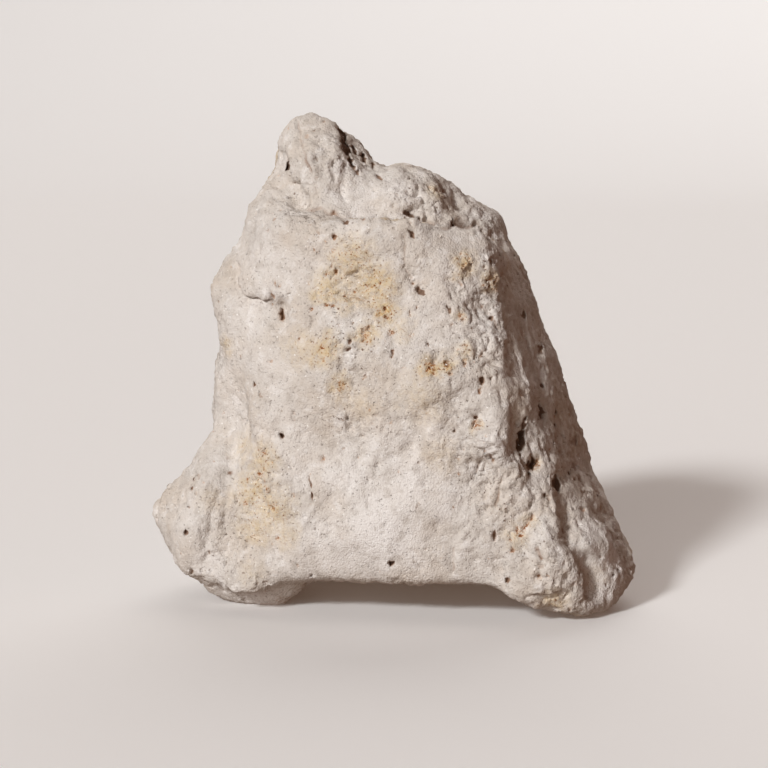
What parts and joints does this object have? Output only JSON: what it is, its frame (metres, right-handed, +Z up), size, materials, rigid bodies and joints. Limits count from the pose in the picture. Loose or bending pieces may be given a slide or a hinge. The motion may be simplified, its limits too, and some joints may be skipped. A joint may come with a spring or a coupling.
{
  "type": "pumice stone",
  "caption": "Natural lump of pale pumice that stands on three worn feet, broad at the base and narrowing to a rounded knob, with ledges, flutes and burst bubbles.",
  "frame": {"origin": "on the ground, under the middle of the stone's bounding box", "axes": "+Z up; -Y out of the broad front face, +X to that face's right as it is looked at; the stone is shallowest along Y"},
  "size_m": [0.0864, 0.0608, 0.0862],
  "materials": {
    "pumice": "matte"
  },
  "bodies": {
    "root": {"pumice_stone": "pumice"}
  },
  "joints": []
}
